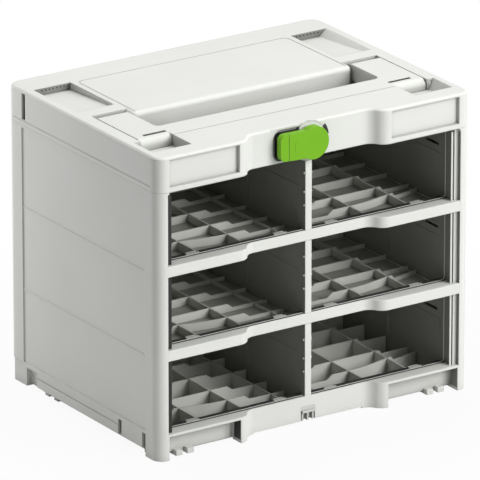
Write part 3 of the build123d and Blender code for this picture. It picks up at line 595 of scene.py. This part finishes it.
def addShadeLining(r, s):
    mesh, shade, trim = bmesh.new(), bmesh.new(), bmesh.new()
    post, jamb, front, thick = r["postHalf"], r["jambInner"], r["jambFront"], s["thick"]
    for floor, top, ceiling in zip(r["floors"], r["barTops"], r["ceilings"]):
        tall = (top, ceiling)
        bothSides(mesh, (post, post + thick), (s["postFront"] + s["edge"], s["linerFront"]), tall)
        bothSides(mesh, (jamb - thick, jamb), (s["jambPale"], s["linerFront"]), tall)
        bothSides(mesh, (front - thick, front), (s["edge"], s["jambStep"]), tall)
        # the step of the jambs has painted shade at the left and a pale strip at the right
        boxInto(shade, (-front, thick - jamb), (s["jambStep"] - thick, s["jambStep"] - s["proud"]), tall)
        boxInto(trim, s["trimX"], (s["jambStep"], s["jambPale"]), tall)
        bothSides(mesh, (post + s["floorInset"], r["bayOuter"] - s["floorInset"]), s["floorY"],
                  (floor + s["proud"], floor + s["floorThick"]))
        bothSides(mesh, (post - s["slotX"][0], post - s["slotX"][1]), s["slotY"],
                  (top + s["slotZ"][0], top + s["slotZ"][1]))
        # dark sleeves paint shade over the nubs, and only a small part of each nub stays pale
        for nub in s["nubs"]:
            for y, low, high in s["nubSleeve"]:
                bothSides(mesh, (post, s["nubReach"]), (y, s["nubBack"]), (top + nub + low, top + nub + high))
    # painted shade on the sides of the front feet that look into the base panels
    for x in s["footFaces"]:
        boxInto(mesh, x, s["footY"], s["footZ"])
    boxInto(shade, s["darkFootFace"], s["footY"], s["footZ"])
    addPiece("bay_shade_lining", mesh, "liner_plastic")
    addPiece("dark_shade_lining", shade, "backplate_plastic")
    addPiece("jamb_trim", trim, "shell_plastic")


addShadeLining(rackSizes, shadeLiningSettings)

# a thin rim along the front of each floor, which turns up beside the jamb, with dark strips along it as painted shade
# in the seams
rimSettings = {"y": 17.0, "radius": 0.6, "height": 0.55, "corner": 4.0, "cornerSteps": 6, "wallX": 177.3,
               "start": 4.6, "topGap": 0.6, "seamEndGap": 0.5,
               "seams": (((15.3, 16.2), (-0.4, 0.8)), ((17.8, 24.6), (-0.4, 0.32))),
               "clips": ((24.5, 40.0), (134.0, 150.0)), "clipY": (18.6, 21.2), "clipZ": (-0.3, 1.2),
               "tailInset": 1.5, "tailY": (22.6, 24.9), "tailZ": (-0.3, 1.1), "clipRound": 0.2}


def addRims(r, s):
    curve = bpy.data.curves.new("bay_rims", "CURVE")
    curve.dimensions = "3D"
    curve.bevel_depth = s["radius"] * millimetre
    curve.bevel_resolution = 2
    for top, ceiling in zip(r["barTops"], r["ceilings"]):
        low = top + s["height"]
        for side in (-1, 1):
            points = [(s["start"], low)]
            for n in range(s["cornerSteps"] + 1):
                turn = math.radians(90 / s["cornerSteps"] * n)
                points.append((s["wallX"] - s["corner"] * (1 - math.sin(turn)),
                               low + s["corner"] * (1 - math.cos(turn))))
            points.append((s["wallX"], ceiling - s["topGap"]))
            spline = curve.splines.new("POLY")
            spline.points.add(len(points) - 1)
            for point, (x, z) in zip(spline.points, points):
                point.co = (*place(side * x, s["y"], z), 1)
    rims = bpy.data.objects.new("bay_rims", curve)
    bpy.context.scene.collection.objects.link(rims)
    curve.materials.append(materials["catch_plastic"])
    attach(rims, "root")
    seams = bmesh.new()
    clips = bmesh.new()
    for top in r["barTops"]:
        for y, z in s["seams"]:
            bothSides(seams, (s["start"], r["bayOuter"] - s["seamEndGap"]), y, (top + z[0], top + z[1]))
        for near, far in s["clips"]:
            bothSides(clips, (near, far), s["clipY"], [top + z for z in s["clipZ"]])
            bothSides(clips, (near + s["tailInset"], far - s["tailInset"]), s["tailY"], [top + z for z in s["tailZ"]])
    addPiece("bay_floor_seam_shade", seams, "backplate_plastic")
    addPiece("bay_floor_clips", clips, "grid_plastic", soften=s["clipRound"])


addRims(rackSizes, rimSettings)

# painted shade: dark blocks fill the slots in the side skirts, and the base panels are a little darker than the shell;
# a small hood covers the top of the coupling catch
baseSettings = {"slotX": (190.05, 194.8), "slotY": ((25.15, 31.35), (71.65, 77.85)), "slotLow": (2.2, 8.3),
                "slotTop": 24.7,
                "panel": ((102.6, 184.6), (13.86, 13.99), (3.6, 25.3)),
                "fill": ((-8.9, 8.9), (14.02, 14.25), (13.2, 17.7)),
                "hood": ((-7.8, 8.8), (11.9, 14.2), (11.0, 13.4)), "hoodRound": 0.5}


def addBaseDetails(s):
    dark, panels, hood = bmesh.new(), bmesh.new(), bmesh.new()
    for y, low in zip(s["slotY"], s["slotLow"]):
        bothSides(dark, s["slotX"], y, (low, s["slotTop"]))
    bothSides(panels, *s["panel"])
    boxInto(hood, *s["fill"])
    boxInto(hood, *s["hood"])
    addPiece("skirt_slot_shade", dark, "backplate_plastic")
    addPiece("base_panel_shade", panels, "catch_plastic")
    addPiece("catch_hood", hood, "catch_plastic", soften=s["hoodRound"])


addBaseDetails(baseSettings)

# rear walls of the rear pockets in the top, in a darker tone as painted shade, with a row of small dark vents as
# painted shade, and of the front pockets
pocketSettings = {"wall": ((141.05, 328.85), (178.0, 328.85), (186.4, 336.5), (141.05, 336.5)),
                  "wallY": (258.7, 259.2),
                  "vents": 8, "ventFrom": 144.0, "ventStep": 4.6, "ventHalf": 0.8, "ventY": (258.5, 258.75),
                  "ventZ": (333.6, 335.0),
                  "frontWall": ((183.6, 190.4), (58.35, 60.5), (322.0, 333.9))}


def addPocketWalls(s):
    rear, vents, front = bmesh.new(), bmesh.new(), bmesh.new()
    for side in (-1, 1):
        plateInto(rear, [(side * x, z) for x, z in s["wall"]], s["wallY"])
    for n in range(s["vents"]):
        middle = s["ventFrom"] + n * s["ventStep"]
        bothSides(vents, (middle - s["ventHalf"], middle + s["ventHalf"]), s["ventY"], s["ventZ"])
    bothSides(front, *s["frontWall"])
    addPiece("pocket_walls", rear, "pocket_shade_plastic")
    addPiece("pocket_vent_shade", vents, "backplate_plastic")
    addPiece("front_pocket_walls", front, "shell_plastic")


addPocketWalls(pocketSettings)

# a narrow ledge in the groove along each side of the top
ledgeSettings = {"inner": 197.42, "outer": 197.96, "low": 303.02, "high": 303.96, "y": (14.2, 281.8)}


def addLedges(s):
    mesh = bmesh.new()
    for side in (-1, 1):
        plateInto(mesh, [(side * s["inner"], s["low"]), (side * s["outer"], s["low"]), (side * s["inner"], s["high"])],
                  s["y"])
    addPiece("side_ledges", mesh, "shell_plastic")


addLedges(ledgeSettings)

# what lies behind the latch: a dark plate under the lever, a collar round the head that is paler than the shell as
# painted light, and a dark ear
latchSettings = {"centre": 316.5, "radius": 20.36, "hub": 7.7, "cut": -12.0, "collar": (14.02, 17.9), "sides": 48,
                 "plate": (12.9, 17.9), "plateLeft": -40.6, "plateTop": (330.9, 330.6),
                 "plateLow": (301.6, 300.9), "plateCorner": 5.0, "cornerSteps": 4, "plateRound": 0.4,
                 "ear": (21.4, 25.2), "earTurn": (7, 36), "earSteps": 6, "earY": (13.7, 13.97)}


def addLatchBack(s):
    collar = bmesh.new()
    outer, inner = [], []
    for n in range(s["sides"]):
        turn = 2 * math.pi * n / s["sides"]
        reach = s["radius"]
        if math.cos(turn) * reach < s["cut"]:
            reach = s["cut"] / math.cos(turn)
        outer.append((reach * math.cos(turn), s["centre"] + reach * math.sin(turn)))
        inner.append((s["hub"] * math.cos(turn), s["centre"] + s["hub"] * math.sin(turn)))
    ringInto(collar, outer, inner, s["collar"])
    addPiece("latch_collar", collar, "collar_lit_plastic")
    plate = bmesh.new()
    corner, steps = s["plateCorner"], s["cornerSteps"]
    outline = [(s["cut"], s["plateLow"][1])]
    for z, first in ((s["plateLow"][0] + corner, 270), (s["plateTop"][0] - corner, 180)):
        for n in range(steps + 1):
            turn = math.radians(first - 90 / steps * n)
            outline.append((s["plateLeft"] + corner + corner * math.cos(turn), z + corner * math.sin(turn)))
    outline.append((s["cut"], s["plateTop"][1]))
    plateInto(plate, outline, s["plate"])
    back = addPiece("latch_plate", plate, "backplate_plastic", soften=s["plateRound"])
    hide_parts("latch_backplate")
    ear = bmesh.new()
    first, last = s["earTurn"]
    turns = [math.radians(first + (last - first) * n / s["earSteps"]) for n in range(s["earSteps"] + 1)]
    outline = [(s["ear"][0] * math.cos(t), s["centre"] + s["ear"][0] * math.sin(t)) for t in turns]
    outline += [(s["ear"][1] * math.cos(t), s["centre"] + s["ear"][1] * math.sin(t)) for t in reversed(turns)]
    plateInto(ear, outline, s["earY"])
    addPiece("latch_ear", ear, "backplate_plastic")


addLatchBack(latchSettings)

# a fine raised arc on the lever, where the thumb pushes, and a bed that leaves its grip line a fine groove
leverSettings = {"y": 3.0, "middle": 316.0, "half": 7.0, "ends": -20.8, "bow": -3.4, "fullness": 4, "halfSteps": 6,
                 "radius": 0.22, "bed": ((-32.65, -31.75), (3.3, 3.85), (303.6, 331.0))}


def addLeverDetails(s):
    curve = bpy.data.curves.new("lever_thumb_arc", "CURVE")
    curve.dimensions = "3D"
    curve.bevel_depth = s["radius"] * millimetre
    spline = curve.splines.new("POLY")
    spline.points.add(2 * s["halfSteps"])
    for n, point in enumerate(spline.points):
        t = n / s["halfSteps"] - 1
        bow = s["bow"] * (1 - t ** s["fullness"])
        point.co = (*place(s["ends"] + bow, s["y"], s["middle"] + s["half"] * t), 1)
    arc = bpy.data.objects.new("lever_thumb_arc", curve)
    bpy.context.scene.collection.objects.link(arc)
    curve.materials.append(materials["latch_plastic"])
    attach(arc, "latch")
    bed = bmesh.new()
    boxInto(bed, *s["bed"])
    addPiece("grip_line_bed", bed, "latch_plastic", "latch")


addLeverDetails(leverSettings)
print("small pieces placed")
